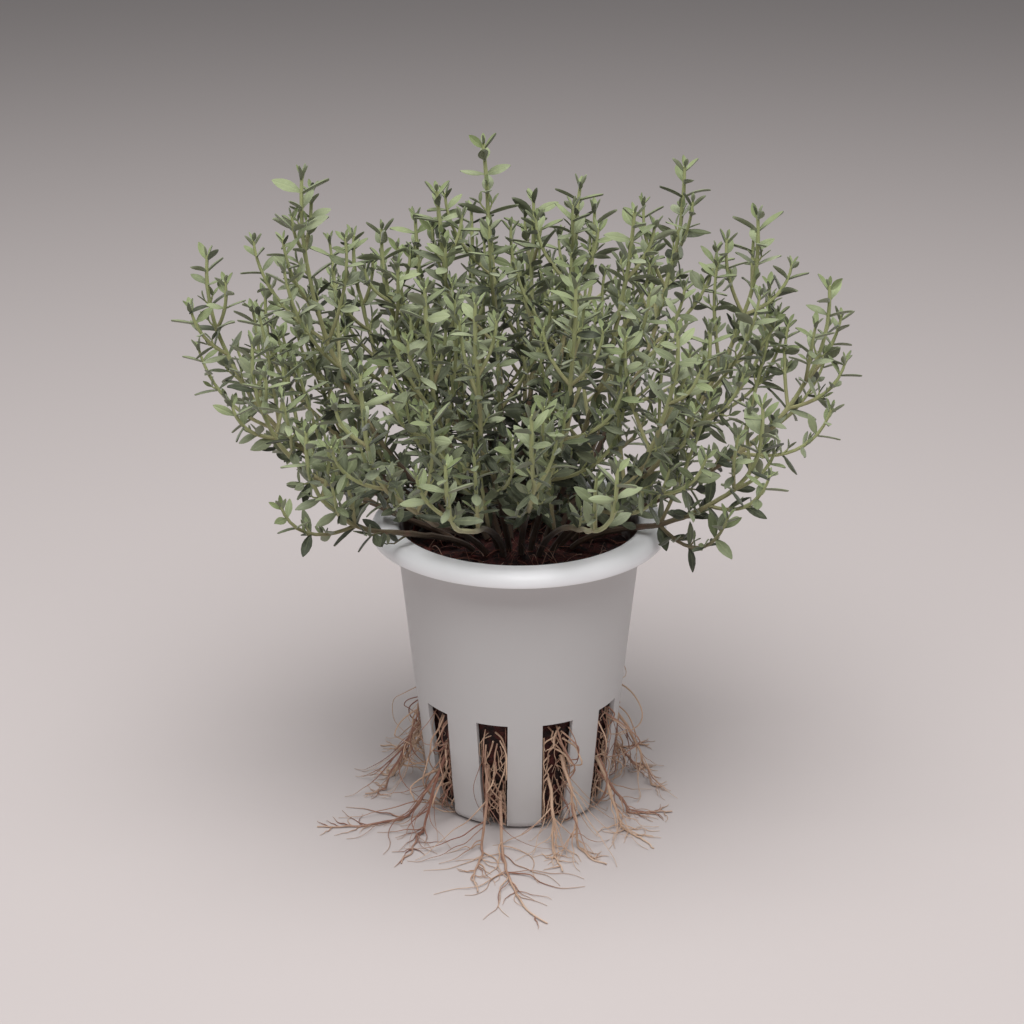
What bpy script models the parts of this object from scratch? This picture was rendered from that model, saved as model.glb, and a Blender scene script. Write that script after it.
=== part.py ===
"""Potted thyme: a bushy young thyme plant rooted in a slotted net pot.

Metres, +Z up. The origin is the middle of the pot's underside, on the surface it stands on.
The front of the plant faces -Y.
"""
import math

import bmesh
import bpy
import numpy as np
from mathutils import Vector

MM = 0.001
GAP = 0.3 * MM

# Net pot: a tapered cup with a wide rolled rim and open slots that run under its foot.
POT_HEIGHT = 61.9 * MM
POT_SEGMENTS = 40
RIM_RADIUS = 30.0 * MM
RIM_DEPTH = 2.8 * MM
RIM_ROUNDING = 1.2 * MM
MOUTH_RADIUS = 24.3 * MM
SHOULDER_RADIUS = 24.9 * MM
FOOT_RADIUS = 19.2 * MM
FOOT_ROUNDING = 2.4 * MM
WALL = 1.0 * MM
POT_FLOOR = 1.2 * MM
SLOT_COUNT = 10
SLOT_TOP = 25.4 * MM
SLOT_INNER_RADIUS = 13.5 * MM
SLOT_OUTER_RADIUS = 32.0 * MM
BAR_WIDTH = 6.95 * MM
FRONT_BAR_ANGLE = math.radians(3.3)

# Growing medium: one plug of coir, with loose husk chips lying on it.
COIR_TOP = 55.0 * MM
COIR_EDGE = 1.0 * MM
COIR_SEGMENTS = 30
CHIP_THICKNESS = 1.4 * MM
# Chip centre x and y, length, width (mm) and turn about Z (degrees).
CHIPS = (
    (2.0, -17.0, 7.5, 4.0, 12.0),
    (-10.5, -14.5, 6.0, 3.4, -35.0),
    (13.0, -13.5, 6.5, 3.6, 40.0),
    (-19.0, -6.0, 5.0, 3.0, 75.0),
)

# Shoots: square stems that rise from the crown, bend upwards and carry crossed pairs of leaves.
CROWN_SPREAD_X = 0.24
CROWN_SPREAD_Y = 0.16
CROWN_SHIFT = 3.0 * MM
STEM_HALF_WIDTH_BASE = 0.55 * MM
STEM_HALF_WIDTH_TIP = 0.30 * MM
# A shallow stem clears the rim, sweeps out and turns up late; a steep one rises in one long bow.
SHALLOW_LAUNCH = 46.0
STEEP_LAUNCH = 80.0
LAUNCH_PULL = (0.20, 0.43)
FINISH_PULL = (0.50, 0.38)
FINISH_LEAN = (-0.12, 0.12)
PATH_SAMPLES = 240
LEAF_BASE_HEIGHT = 0.9 * MM
LEAF_WIDTH_RATIO = 0.40
LEAF_THICKNESS = 0.45 * MM
LEAF_WIDEST = 0.5
LEAF_ROOM = 1.5 * MM
BUD_LENGTH = 1.6 * MM
BARE_STEM = 11.0 * MM
RIM_CLEAR_HEIGHT = POT_HEIGHT + 1.6 * MM
RIM_CLEAR_RADIUS = RIM_RADIUS + 1.2 * MM
# Distance below the tip and length of the young pairs, then the step and length of the older ones.
YOUNG_PAIRS = ((0.8 * MM, 3.6 * MM, 30.0), (3.2 * MM, 4.8 * MM, 45.0), (7.0 * MM, 5.4 * MM, 52.0))
OLD_PAIR_STEP = 8.4 * MM
OLD_PAIR_LENGTH = 6.0 * MM
OLD_PAIR_ANGLE = 58.0
# Tip x, y, z (mm) and the angle (degrees) at which the stem leaves the crown.
SPRIGS = (
    (-60, 0, 116, 47),
    (-50, -15, 103, 47),
    (-52, 22, 102, 49),
    (-41, -2, 132, 52),
    (-42, 12, 105, 52),
    (-39, -31, 91, 48),
    (-34, 28, 113, 54),
    (-27, 9, 119, 66),
    (-28, -40, 105, 52),
    (-21, 23, 118, 68),
    (-17, -27, 117, 60),
    (-26, 46, 106, 48),
    (-16, 7, 127, 74),
    (-13, -48, 91, 58),
    (-7, 13, 135, 80),
    (-8, -30, 115, 62),
    (-10, 39, 116, 60),
    (3, 27, 121, 74),
    (2, -42, 98, 60),
    (2, 50, 108, 48),
    (12, 12, 127, 78),
    (10, -28, 118, 64),
    (21, -15, 128, 72),
    (17, -47, 90, 58),
    (16, 39, 116, 60),
    (28, -34, 111, 56),
    (29, 46, 106, 48),
    (33, 20, 129, 64),
    (36, -12, 105, 54),
    (46, 4, 123, 52),
    (45, -24, 94, 48),
    (52, 27, 103, 50),
    (60, 0, 110, 48),
)

# Roots: leave the plug through the slots, drop to the surface and lie along it.
ROOT_RADIUS = 0.42 * MM
ROOT_TIP_FRACTION = 0.5
ROOT_POINTS = 10
ROOT_SIDE = 1.25 * MM
ROOT_WAVE = 0.9 * MM
ROOT_LIFT = 0.02 * MM
# Slot number, side of the slot, start height (mm), reach (mm) and end angle from the front (degrees).
ROOTS = (
    (0, -1, 15.0, 43.0, -11.0),
    (0, 1, 9.0, 53.5, 5.5),
    (1, -1, 12.0, 36.0, 13.0),
    (1, 1, 17.0, 37.0, 27.0),
    (2, -1, 13.0, 38.0, 45.0),
    (2, 1, 8.0, 34.0, 68.0),
    (3, -1, 18.0, 31.0, 86.0),
    (3, 1, 10.0, 29.0, 105.0),
    (4, -1, 9.0, 34.0, 122.0),
    (4, 1, 16.0, 30.0, 140.0),
    (5, -1, 14.0, 38.0, 158.0),
    (6, 1, 11.0, 36.0, -162.0),
    (7, -1, 9.0, 31.0, -140.0),
    (7, 1, 15.0, 35.0, -120.0),
    (8, -1, 12.0, 30.0, -100.0),
    (8, 1, 17.0, 33.0, -84.0),
    (9, -1, 10.0, 45.0, -67.0),
    (9, 1, 15.0, 40.0, -37.0),
)


def clear_scene():
    """Remove whatever the scene holds."""
    for thing in list(bpy.data.objects):
        bpy.data.objects.remove(thing, do_unlink=True)


def material(name, color, roughness, metallic=0.0):
    """Make a plain Principled material."""
    made = bpy.data.materials.new(name)
    made.use_nodes = True
    shader = made.node_tree.nodes["Principled BSDF"]
    shader.inputs["Base Color"].default_value = (*color, 1.0)
    shader.inputs["Roughness"].default_value = roughness
    shader.inputs["Metallic"].default_value = metallic
    return made


def add_object(name, data, finish):
    """Link mesh or curve data to the scene as one named object."""
    thing = bpy.data.objects.new(name, data)
    thing.data.materials.append(finish)
    bpy.context.scene.collection.objects.link(thing)
    return thing


def mesh_object(name, bm, finish, smooth_angle=math.radians(40.0)):
    """Turn a bmesh into a named object with outward faces."""
    bmesh.ops.recalc_face_normals(bm, faces=bm.faces)
    mesh = bpy.data.meshes.new(name)
    bm.to_mesh(mesh)
    bm.free()
    mesh.shade_smooth()
    mesh.set_sharp_from_angle(angle=smooth_angle)
    return add_object(name, mesh, finish)


def arc(centre_r, centre_z, radius, start, end, steps):
    """List points of a circular arc in the radius-height plane, angles in degrees."""
    points = []
    for step in range(steps + 1):
        angle = math.radians(start + (end - start) * step / steps)
        points.append((centre_r + radius * math.cos(angle), centre_z + radius * math.sin(angle)))
    return points


def turned(profile, segments):
    """Spin a profile of (radius, height) points that starts and ends on the Z axis."""
    bm = bmesh.new()
    verts = [bm.verts.new((r, 0.0, z)) for r, z in profile]
    edges = [bm.edges.new(pair) for pair in zip(verts, verts[1:])]
    bmesh.ops.spin(
        bm, geom=verts + edges, cent=(0, 0, 0), axis=(0, 0, 1),
        angle=math.tau, steps=segments, use_merge=True,
    )
    bmesh.ops.remove_doubles(bm, verts=bm.verts, dist=1e-6)
    return bm


def pot_outer(height):
    """Radius of the pot's outer wall at a height."""
    shoulder = POT_HEIGHT - RIM_DEPTH
    return FOOT_RADIUS + (SHOULDER_RADIUS - FOOT_RADIUS) * height / shoulder


def pot_inner(height):
    """Radius of the pot's inner wall at a height."""
    return pot_outer(height) - WALL


def toward(angle):
    """Unit vector in plan at an angle from the front, positive towards +X."""
    return Vector((math.sin(angle), -math.cos(angle), 0.0))


def slot_angle(number):
    """Angle from the front of a slot's middle."""
    return FRONT_BAR_ANGLE + math.tau / SLOT_COUNT * (number - 0.5)


def build_pot(finish):
    """Turn the cup and cut its slots."""
    shoulder = POT_HEIGHT - RIM_DEPTH
    profile = [(0.0, 0.0)]
    profile += arc(FOOT_RADIUS - FOOT_ROUNDING, FOOT_ROUNDING, FOOT_ROUNDING, -90, 0, 3)
    profile.append((pot_outer(SLOT_TOP), SLOT_TOP))
    profile.append((SHOULDER_RADIUS, shoulder))
    profile.append((RIM_RADIUS - RIM_ROUNDING, shoulder))
    profile += arc(RIM_RADIUS - RIM_ROUNDING, shoulder + RIM_ROUNDING, RIM_ROUNDING, -60, 0, 2)
    profile += arc(RIM_RADIUS - RIM_ROUNDING, POT_HEIGHT - RIM_ROUNDING, RIM_ROUNDING, 0, 90, 3)
    lip = MOUTH_RADIUS + RIM_ROUNDING
    profile += arc(lip, POT_HEIGHT - RIM_ROUNDING, RIM_ROUNDING, 90, 180, 3)
    profile.append((pot_inner(shoulder - WALL), shoulder - WALL))
    profile.append((pot_inner(POT_FLOOR), POT_FLOOR))
    profile.append((0.0, POT_FLOOR))
    pot = mesh_object("net_pot", turned(profile, POT_SEGMENTS), finish)

    cutter_bm = bmesh.new()
    half_pitch = math.pi / SLOT_COUNT
    for number in range(SLOT_COUNT):
        outward = toward(slot_angle(number))
        across = Vector((-outward.y, outward.x, 0.0))
        corners = []
        for radius, sides in ((SLOT_INNER_RADIUS, (-1, 1)), (SLOT_OUTER_RADIUS, (1, -1))):
            half = (radius * math.sin(half_pitch) - BAR_WIDTH / 2) / math.cos(half_pitch)
            corners += [outward * radius + across * side * half for side in sides]
        outline = [cutter_bm.verts.new((c.x, c.y, -MM)) for c in corners]
        face = cutter_bm.faces.new(outline)
        top = bmesh.ops.extrude_face_region(cutter_bm, geom=[face])["geom"]
        lifted = [v for v in top if isinstance(v, bmesh.types.BMVert)]
        bmesh.ops.translate(cutter_bm, verts=lifted, vec=(0, 0, SLOT_TOP + MM))
    cutter = mesh_object("slot_cutter", cutter_bm, finish)
    cutter.hide_render = True
    cutter.display_type = "WIRE"
    slots = pot.modifiers.new("slots", "BOOLEAN")
    slots.operation = "DIFFERENCE"
    slots.object = cutter


def build_coir(finish):
    """Turn the plug of coir that fills the pot."""
    bottom = POT_FLOOR + GAP
    profile = [
        (0.0, bottom),
        (pot_inner(bottom) - GAP - FOOT_ROUNDING / 2, bottom),
        (pot_inner(FOOT_ROUNDING) - GAP, FOOT_ROUNDING + GAP),
        (pot_inner(COIR_TOP - COIR_EDGE) - GAP, COIR_TOP - COIR_EDGE),
        (pot_inner(COIR_TOP) - GAP - COIR_EDGE, COIR_TOP),
        (0.0, COIR_TOP),
    ]
    mesh_object("coir_plug", turned(profile, COIR_SEGMENTS), finish)


def build_chips(finish):
    """Lay flat husk chips on the coir."""
    for number, (x, y, length, width, turn) in enumerate(CHIPS, 1):
        bm = bmesh.new()
        verts = bmesh.ops.create_cube(bm, size=1.0)["verts"]
        bmesh.ops.scale(bm, verts=verts, vec=(length * MM, width * MM, CHIP_THICKNESS))
        pointed = [v for v in verts if v.co.x > 0]
        bmesh.ops.scale(bm, verts=pointed, vec=(1.0, 0.55, 0.8))
        bmesh.ops.bevel(
            bm, geom=bm.edges[:], offset=0.3 * MM, affect="EDGES", segments=1, profile=0.5, material=-1,
        )
        chip = mesh_object(f"husk_chip_{number}", bm, finish)
        chip.location = (x * MM, y * MM, COIR_TOP + GAP + CHIP_THICKNESS / 2)
        chip.rotation_euler.z = math.radians(turn)


def sprig_path(tip_x, tip_y, tip_z, launch):
    """Sample a stem's centre line, evenly spaced, from the crown to the tip.

    Returns the points as an array and the spacing between them.
    """
    tip = np.array((tip_x, tip_y, tip_z), float) * MM
    rise = math.radians(launch)
    foot = COIR_TOP + GAP + math.sqrt(2) * STEM_HALF_WIDTH_BASE * math.cos(rise)
    base = np.array((CROWN_SPREAD_X * tip[0], CROWN_SPREAD_Y * tip[1] + CROWN_SHIFT, foot))
    plan = (tip - base) * (1, 1, 0)
    plan = plan / np.linalg.norm(plan)
    length = np.linalg.norm(tip - base)
    steep = (launch - SHALLOW_LAUNCH) / (STEEP_LAUNCH - SHALLOW_LAUNCH)
    pull, finish, lean = (a + (b - a) * steep for a, b in (LAUNCH_PULL, FINISH_PULL, FINISH_LEAN))
    first = base + (plan * math.cos(rise) + (0, 0, math.sin(rise))) * length * pull
    last = tip - (plan * lean + (0, 0, 1)) * length * finish
    t = np.linspace(0, 1, PATH_SAMPLES)[:, None]
    curve = (1 - t) ** 3 * base + 3 * (1 - t) ** 2 * t * first + 3 * (1 - t) * t ** 2 * last + t ** 3 * tip
    run = np.concatenate(([0], np.cumsum(np.linalg.norm(np.diff(curve, axis=0), axis=1))))
    even = np.linspace(0, run[-1], PATH_SAMPLES)
    points = np.stack([np.interp(even, run, curve[:, axis]) for axis in range(3)], axis=1)
    return points, run[-1] / (PATH_SAMPLES - 1)


def point_at(points, spacing, distance):
    """Point and direction of a path at a distance along it."""
    place = min(max(distance / spacing, 0.0), len(points) - 1.001)
    index = int(place)
    position = points[index] + (points[index + 1] - points[index]) * (place - index)
    ahead = points[min(index + 3, len(points) - 1)] - points[max(index - 3, 0)]
    return Vector(position), Vector(ahead).normalized()


def pair_list(length):
    """List the leaf pairs of a stem from the tip down: distance from the base, leaf length and angle."""
    pairs = [(length - below, size, angle) for below, size, angle in YOUNG_PAIRS]
    distance = pairs[-1][0] - OLD_PAIR_STEP
    while distance > BARE_STEM:
        pairs.append((distance, OLD_PAIR_LENGTH, OLD_PAIR_ANGLE))
        distance -= OLD_PAIR_STEP
    return pairs


def leaf_samples(start, direction, across, length):
    """Points over a leaf blade that stand for it in clearance tests."""
    half = length * LEAF_WIDTH_RATIO / 2
    middle = start + direction * length * LEAF_WIDEST
    points = [start + direction * length * part for part in (0.25, 0.5, 0.75, 1.0)]
    points += [middle + across * half, middle - across * half]
    return np.array(points)


def has_room(samples, others, taken):
    """Tell whether a leaf is clear of the pot, the other stems and the other sprigs' leaves."""
    reach = np.hypot(samples[:, 0], samples[:, 1])
    if np.any((samples[:, 2] < RIM_CLEAR_HEIGHT) & (reach < RIM_CLEAR_RADIUS)):
        return False
    for cloud in (others, taken):
        if len(cloud):
            apart = np.linalg.norm(samples[:, None] - cloud[None], axis=2)
            if apart.min() < LEAF_ROOM:
                return False
    return True


def grow_leaf(bm, face, direction, across, length):
    """Draw a stem face out into a flat pointed leaf."""
    centre = face.calc_center_median()
    upper = across.cross(direction)
    half = length * LEAF_WIDTH_RATIO / 2
    blade = bmesh.ops.extrude_discrete_faces(bm, faces=[face])["faces"][0]
    for vert in blade.verts:
        away = vert.co - centre
        side = math.copysign(half, away.dot(across))
        lift = math.copysign(LEAF_THICKNESS / 2, away.dot(upper))
        vert.co = centre + direction * length * LEAF_WIDEST + across * side + upper * lift
    tip = bmesh.ops.poke(bm, faces=[blade])["verts"][0]
    tip.co = centre + direction * length


def build_sprig(name, path, spacing, others, taken, finish):
    """Grow one stem with its leaves as one closed body; return points that stand for its leaves."""
    length = spacing * (len(path) - 1)
    pairs = list(reversed(pair_list(length)))
    marks = [0.0]
    for distance, _, _ in pairs:
        marks += [distance - LEAF_BASE_HEIGHT / 2, distance + LEAF_BASE_HEIGHT / 2]

    bm = bmesh.new()
    bmesh.ops.create_circle(bm, segments=4, radius=MM, cap_ends=True)
    cap = bm.faces[:][0]
    ring = list(cap.verts)
    side = Vector((0.0, 0.0, 1.0)).cross(point_at(path, spacing, 0.0)[1]).normalized()
    stretches = []
    for number, mark in enumerate(marks):
        position, ahead = point_at(path, spacing, mark)
        side = (side - ahead * side.dot(ahead)).normalized()
        other = ahead.cross(side)
        share = mark / length
        half = STEM_HALF_WIDTH_BASE + (STEM_HALF_WIDTH_TIP - STEM_HALF_WIDTH_BASE) * share
        if number:
            previous = ring
            cap = bmesh.ops.extrude_discrete_faces(bm, faces=[cap])["faces"][0]
            ring = [min(cap.verts, key=lambda v, old=old: (v.co - old.co).length) for old in previous]
        signs = ((1, 1), (-1, 1), (-1, -1), (1, -1))
        for vert, (along_side, along_other) in zip(ring, signs):
            vert.co = position + (side * along_side + other * along_other) * half
        if number and number % 2 == 0:
            stretches.append((previous, ring, side.copy(), other.copy(), ahead))
    bud = bmesh.ops.poke(bm, faces=[cap])["verts"][0]
    bud.co = Vector(path[-1]) + ahead * BUD_LENGTH

    grown = []
    for number, ((_, size, angle), stretch) in enumerate(zip(pairs, stretches)):
        lower, upper_ring, side, other, ahead = stretch
        outward_axis = side if (len(pairs) - number) % 2 else other
        for sign in (1, -1):
            outward = outward_axis * sign
            lean = math.radians(angle)
            direction = (ahead * math.cos(lean) + outward * math.sin(lean)).normalized()
            across = direction.cross(ahead).normalized()
            corners = set(lower) | set(upper_ring)
            near = {f for v in corners for f in v.link_faces if len(f.verts) == 4}
            faces = {f for f in near if set(f.verts) <= corners}
            face = max(faces, key=lambda f: (f.calc_center_median() - sum_centre(corners)).dot(outward))
            samples = leaf_samples(face.calc_center_median(), direction, across, size)
            if has_room(samples, others, taken):
                grow_leaf(bm, face, direction, across, size)
                grown.append(samples)
    bmesh.ops.holes_fill(bm, edges=[e for e in bm.edges if e.is_boundary], sides=4)
    mesh_object(name, bm, finish, smooth_angle=math.radians(30.0))
    return np.concatenate(grown)


def sum_centre(verts):
    """Middle of a set of vertices."""
    return sum((v.co for v in verts), Vector()) / len(verts)


def build_sprigs(finish):
    """Grow every sprig, each keeping clear of the stems and leaves around it."""
    paths = [sprig_path(*row) for row in SPRIGS]
    taken = np.zeros((0, 3))
    for number, (path, spacing) in enumerate(paths):
        others = np.concatenate([p[::3] for index, (p, _) in enumerate(paths) if index != number])
        samples = build_sprig(f"thyme_sprig_{number + 1:02d}", path, spacing, others, taken, finish)
        taken = np.concatenate((taken, samples))


def root_points(slot, side, start_height, reach, end_angle):
    """Route one root from the plug through its slot, down and along the surface."""
    start_angle = slot_angle(slot)
    turn = (math.radians(end_angle) - start_angle + math.pi) % math.tau - math.pi
    start = start_height * MM
    first = pot_inner(start)
    reach = reach * MM
    rest = ROOT_RADIUS + ROOT_LIFT
    land = pot_outer(0.0) + 5.0 * MM + 0.25 * start
    level = (first + 2.2 * MM, start - 0.6 * MM)
    steep = (land - 2.6 * MM, start * 0.42)
    guide = ((first, start), level, steep, (land, rest))
    points = []
    for step in range(ROOT_POINTS):
        share = step / (ROOT_POINTS - 1)
        if share < 0.5:
            t = share * 2
            weights = ((1 - t) ** 3, 3 * (1 - t) ** 2 * t, 3 * (1 - t) * t ** 2, t ** 3)
            radius = sum(w * g[0] for w, g in zip(weights, guide))
            height = max(sum(w * g[1] for w, g in zip(weights, guide)), rest)
        else:
            radius = land + (reach - land) * (share * 2 - 1)
            height = rest
        travel = (radius - first) / (reach - first)
        outward = toward(start_angle + turn * travel)
        across = Vector((-outward.y, outward.x, 0.0))
        sway = side * ROOT_SIDE * (1 - travel) + ROOT_WAVE * math.sin(travel * math.tau + slot) * travel
        place = outward * radius + across * sway
        points.append((place.x, place.y, height))
    return points


def build_roots(finish):
    """Lay out the roots that come through the slots."""
    for number, row in enumerate(ROOTS, 1):
        points = root_points(*row)
        curve = bpy.data.curves.new(f"root_{number:02d}", "CURVE")
        curve.dimensions = "3D"
        curve.bevel_depth = ROOT_RADIUS
        curve.bevel_resolution = 1
        curve.use_fill_caps = True
        spline = curve.splines.new("POLY")
        spline.points.add(len(points) - 1)
        for index, point in enumerate(points):
            spline.points[index].co = (*point, 1.0)
            spline.points[index].radius = 1.0 - (1.0 - ROOT_TIP_FRACTION) * index / (len(points) - 1)
        add_object(f"root_{number:02d}", curve, finish)


def main():
    """Build the pot, the growing medium, the plant and its roots."""
    clear_scene()
    build_pot(material("pot_plastic", (0.86, 0.86, 0.87), 0.38))
    build_coir(material("coir", (0.055, 0.022, 0.016), 0.95))
    build_chips(material("husk", (0.22, 0.07, 0.035), 0.85))
    build_sprigs(material("thyme_leaf", (0.20, 0.27, 0.14), 0.6))
    build_roots(material("root", (0.52, 0.36, 0.22), 0.75))


main()
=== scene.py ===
"""Looks of a potted thyme: a bushy young plant rooted in a white slotted net pot.

Metres, +Z up, the middle of the pot's underside at the origin, the plant's front towards -Y.
"""
import logging
import math
import random
from collections.abc import Iterator, Sequence
from dataclasses import dataclass, field
from enum import Enum
from typing import Any

import bmesh
import bpy
import numpy as np
from mathutils import Matrix, Vector, noise

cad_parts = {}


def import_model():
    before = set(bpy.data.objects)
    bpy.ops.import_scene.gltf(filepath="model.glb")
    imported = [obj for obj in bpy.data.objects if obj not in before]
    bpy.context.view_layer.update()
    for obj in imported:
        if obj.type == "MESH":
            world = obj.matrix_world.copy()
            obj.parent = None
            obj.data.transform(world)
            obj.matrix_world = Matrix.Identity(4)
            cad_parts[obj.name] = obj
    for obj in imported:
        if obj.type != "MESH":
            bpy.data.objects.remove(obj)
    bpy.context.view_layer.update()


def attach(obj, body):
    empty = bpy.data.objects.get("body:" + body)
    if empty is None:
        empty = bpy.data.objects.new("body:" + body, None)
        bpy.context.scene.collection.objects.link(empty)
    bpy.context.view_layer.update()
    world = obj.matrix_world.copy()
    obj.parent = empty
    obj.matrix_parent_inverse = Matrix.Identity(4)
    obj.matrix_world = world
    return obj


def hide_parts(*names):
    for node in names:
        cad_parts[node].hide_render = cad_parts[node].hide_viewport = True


log = logging.getLogger("potted_thyme")

MM = 0.001
BODY = "root"


class Slot(Enum):
    """Material slots of the record."""

    POT = "pot_plastic"
    COIR = "coir"
    HUSK = "husk"
    FOLIAGE = "thyme_foliage"
    ROOT = "root_fibre"


class LeafKind(Enum):
    """Shapes that a thyme leaf grows into."""

    BUD = "bud"
    YOUNG = "young"
    FLAT = "flat"
    BROAD = "broad"
    ROLLED = "rolled"
    DROOPING = "drooping"


# ---------------------------------------------------------------- shader tools


class Value:
    """A shader socket that Python arithmetic can work on."""

    def __init__(self, paint: "Paint", socket: bpy.types.NodeSocket) -> None:
        """Wrap an output socket.

        Args:
            paint: The material being painted.
            socket: The output socket to wrap.
        """
        self.paint = paint
        self.socket = socket

    def _join(self, operation: str, first: Any, second: Any) -> "Value":
        """Add one Math node on two values."""
        return self.paint.node("ShaderNodeMath", {"operation": operation}, {0: first, 1: second})

    def __add__(self, other: Any) -> "Value":
        """Add."""
        return self._join("ADD", self, other)

    __radd__ = __add__

    def __sub__(self, other: Any) -> "Value":
        """Subtract."""
        return self._join("SUBTRACT", self, other)

    def __rsub__(self, other: Any) -> "Value":
        """Subtract from a number."""
        return self._join("SUBTRACT", other, self)

    def __mul__(self, other: Any) -> "Value":
        """Multiply."""
        return self._join("MULTIPLY", self, other)

    __rmul__ = __mul__

    def __truediv__(self, other: Any) -> "Value":
        """Divide."""
        return self._join("DIVIDE", self, other)

    def __pow__(self, other: Any) -> "Value":
        """Raise to a power."""
        return self._join("POWER", self, other)

    def __gt__(self, other: Any) -> "Value":
        """Give 1 where this is greater."""
        return self._join("GREATER_THAN", self, other)

    def __abs__(self) -> "Value":
        """Absolute value."""
        return self._join("ABSOLUTE", self, 0.0)

    def ramp(self, low: float, high: float) -> "Value":
        """Rise smoothly from 0 to 1 between two values.

        Args:
            low: Value that gives 0.
            high: Value that gives 1.

        Returns:
            The eased value.
        """
        settings = {"interpolation_type": "SMOOTHSTEP"}
        inputs = {"Value": self, "From Min": low, "From Max": high}
        return self.paint.node("ShaderNodeMapRange", settings, inputs)


class Paint:
    """A material under construction."""

    def __init__(self, name: str) -> None:
        """Start a node material.

        Args:
            name: The material's name.
        """
        self.material = bpy.data.materials.new(name)
        self.material.use_nodes = True
        self.tree = self.material.node_tree
        self.shader = self.tree.nodes["Principled BSDF"]

    def node(
        self,
        kind: str,
        settings: dict[str, Any] | None = None,
        inputs: dict[Any, Any] | None = None,
        output: Any = 0,
    ) -> Value:
        """Add one node.

        Args:
            kind: The node's type.
            settings: Properties, set before the sockets.
            inputs: Values or links by socket name or number.
            output: The output socket to hand back.

        Returns:
            The chosen output.
        """
        made = self.tree.nodes.new(kind)
        for key, value in (settings or {}).items():
            setattr(made, key, value)
        for key, value in (inputs or {}).items():
            self.feed(made.inputs[key], value)
        return Value(self, made.outputs[output])

    def feed(self, socket: bpy.types.NodeSocket, value: Any) -> None:
        """Set or link one input socket.

        Args:
            socket: The input.
            value: A number, a colour or a wrapped output.
        """
        if isinstance(value, Value):
            self.tree.links.new(value.socket, socket)
        elif isinstance(value, tuple) and len(value) == 3 and socket.type == "RGBA":
            socket.default_value = (*value, 1.0)
        else:
            socket.default_value = value

    def blend(self, share: Any, first: Any, second: Any) -> Value:
        """Mix two colours.

        Args:
            share: How much of the second, 0 to 1.
            first: The first colour.
            second: The second colour.

        Returns:
            The mixed colour.
        """
        return self.node("ShaderNodeMix", {"data_type": "RGBA"}, {0: share, 6: first, 7: second}, 2)

    def place(self, scale: tuple[float, float, float] = (1.0, 1.0, 1.0)) -> Value:
        """Object coordinates, stretched by a scale on each axis."""
        spot = self.node("ShaderNodeTexCoord", output="Object")
        return self.node("ShaderNodeMapping", None, {"Vector": spot, "Scale": scale})

    def cloud(self, where: Value, scale: float, detail: float = 3.0, rough: float = 0.55) -> Value:
        """Noise between 0 and 1.

        Args:
            where: Coordinates.
            scale: Spots per metre.
            detail: Octaves.
            rough: Strength of the fine octaves.

        Returns:
            The noise.
        """
        inputs = {"Vector": where, "Scale": scale, "Detail": detail, "Roughness": rough}
        return self.node("ShaderNodeTexNoise", None, inputs)

    def attribute(self, name: str) -> Value:
        """A number stored on the mesh."""
        return self.node("ShaderNodeAttribute", {"attribute_name": name}, output="Fac")

    def part(self, vector: Value, axis: str) -> Value:
        """One component of a vector."""
        return self.node("ShaderNodeSeparateXYZ", None, {0: vector}, axis)

    def bump(self, height: Value, strength: float, distance: float) -> None:
        """Give the surface relief.

        Args:
            height: Height between 0 and 1.
            strength: How strongly it shows.
            distance: The relief's depth in metres.
        """
        inputs = {"Strength": strength, "Distance": distance, "Height": height}
        self.feed(self.shader.inputs["Normal"], self.node("ShaderNodeBump", None, inputs))

    def coat(self, **sockets: Any) -> bpy.types.Material:
        """Set the shader's sockets by name, with underscores for spaces.

        Returns:
            The finished material.
        """
        for name, value in sockets.items():
            self.feed(self.shader.inputs[name.replace("_", " ")], value)
        return self.material


# ---------------------------------------------------------------- finishes


@dataclass(frozen=True)
class PotPlastic:
    """Satin white moulded plastic with painted shade on the wall below the rim, a little stained inside above the
    coir.
    """

    white: tuple[float, float, float] = (0.93, 0.925, 0.945)
    # Wall colour below the rim: the white darkened as painted shade, because the sloping wall gets little overhead
    # light.
    thin: tuple[float, float, float] = (0.575, 0.560, 0.557)
    shade: float = 0.06
    stain: tuple[float, float, float] = (0.085, 0.035, 0.022)
    mouth_radius: float = 24.4 * MM
    foot_radius: float = 19.2 * MM
    taper: float = 5.7 / 59.1
    coir_line: float = 55.0 * MM
    stain_top: float = 61.6 * MM
    rim_line: float = 59.4 * MM

    def material(self) -> bpy.types.Material:
        """Paint the plastic."""
        paint = Paint("pot plastic")
        where = paint.place()
        clouds = paint.cloud(where, 70.0)
        height = paint.part(where, "Z")
        # Painted shade: below the rim line the wall takes the darker wall colour, and the rim keeps the white.
        wall = 1 - height.ramp(self.rim_line - 1.0 * MM, self.rim_line)
        body = paint.blend(wall * (0.94 + clouds * self.shade), self.white, self.thin)
        across = paint.part(where, "X")
        depth = paint.part(where, "Y")
        reach = (across * across + depth * depth) ** 0.5
        middle = self.foot_radius - 0.5 * MM + height * self.taper
        inside = (middle > reach) * (1 - reach.ramp(self.mouth_radius - 0.3 * MM, self.mouth_radius))
        low = 1 - height.ramp(self.coir_line + 3.0 * MM, self.stain_top)
        above = height.ramp(self.coir_line - 6 * MM, self.coir_line - 3 * MM)
        blot = paint.cloud(where, 260.0, 5.0).ramp(0.20, 0.55)
        body = paint.blend(inside * low * above * blot * 0.95, body, self.stain)
        grain = paint.cloud(where, 2600.0, 2.0)
        paint.bump(grain, 0.10, 0.05 * MM)
        return paint.coat(
            Base_Color=body,
            Roughness=0.34 + clouds * 0.12,
            IOR=1.49,
            Subsurface_Weight=0.08,
            Subsurface_Radius=(0.002, 0.002, 0.002),
        )


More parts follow.
